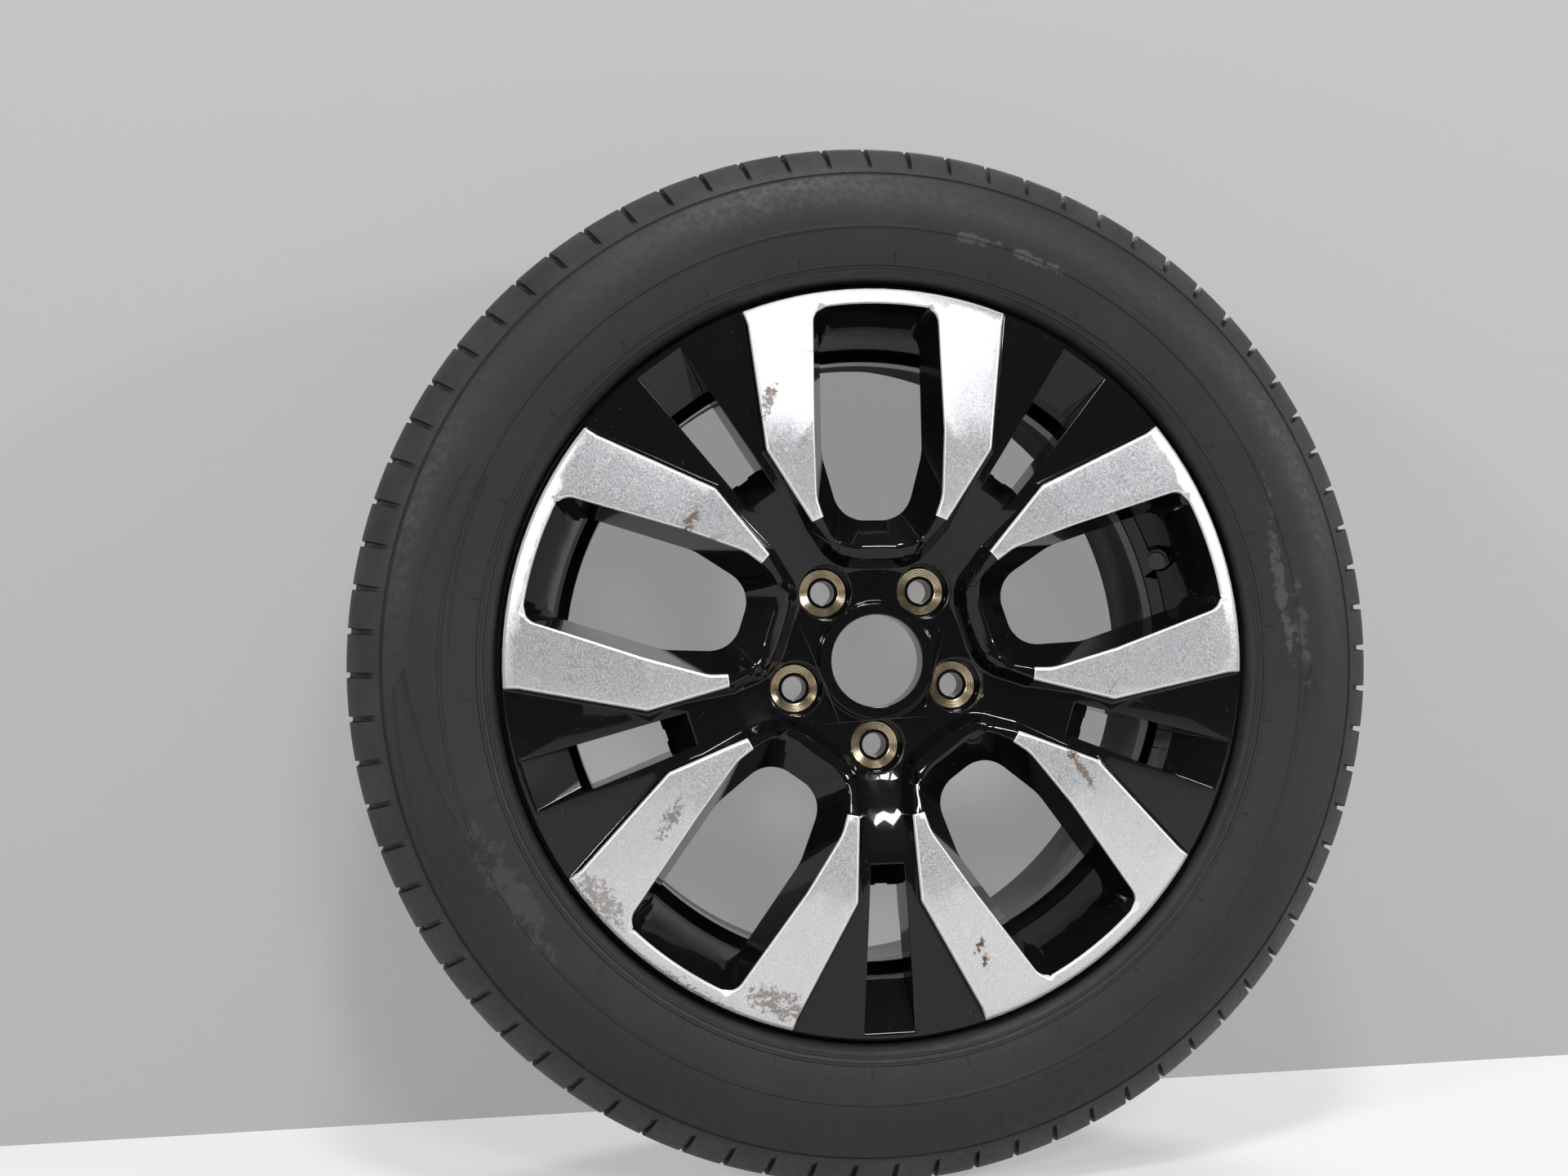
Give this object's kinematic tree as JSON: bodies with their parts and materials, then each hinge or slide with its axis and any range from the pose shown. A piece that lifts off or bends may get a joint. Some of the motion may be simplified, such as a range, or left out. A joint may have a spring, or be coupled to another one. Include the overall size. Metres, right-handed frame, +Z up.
{
  "type": "alloy wheel",
  "caption": "Two-tone cast alloy car wheel with split spokes and bright turned panels, fitted with a used road tyre, a snap-in valve with screw cap and stick-on balance weights.",
  "frame": {"origin": "centre of the rim on the wheel's axis, half way between the flanges", "axes": "+Y along the wheel's axis towards the vehicle, -Y is the street side, +Z up through the top window"},
  "size_m": [0.6589, 0.214, 0.659],
  "materials": {
    "alloy": "gloss black lacquer with bright turned panels",
    "tyre": "dusty",
    "valve_rubber": "matt",
    "brass": "plain",
    "cap_plastic": "matt",
    "tape": "matt",
    "weight_steel": "coated grey"
  },
  "bodies": {
    "wheel": {"alloy_wheel": "alloy", "tyre": "tyre", "valve_rubber": "valve_rubber", "valve_stem": "brass", "weight_tape": "tape", "weight_1": "weight_steel", "weight_2": "weight_steel", "weight_3": "weight_steel", "weight_4": "weight_steel"},
    "seal": {"cap_seal": "valve_rubber"},
    "cap": {"valve_cap": "cap_plastic"},
    "pin": {"core_pin": "brass"}
  },
  "joints": [
    {"name": "cap_lift", "type": "slide", "parent": "wheel", "child": "seal", "axis": [-0.4019, -0.9063, -0.1306], "range_m": [0, 0.00635]},
    {"name": "cap_turn", "type": "hinge", "parent": "seal", "child": "cap", "pos_m": [0.19649, -0.05203, 0.06384], "axis": [-0.4019, -0.9063, -0.1306], "range_deg": [0, 2880]},
    {"name": "pin_press", "type": "slide", "parent": "wheel", "child": "pin", "axis": [0.4019, 0.9063, 0.1306], "range_m": [0, 0.0015], "stiffness_N_per_m": 300, "springref_m": -0.002}
  ],
  "couplings": [
    {"joint": "cap_turn", "follows": "cap_lift", "rad_per_m": 7915.8}
  ]
}
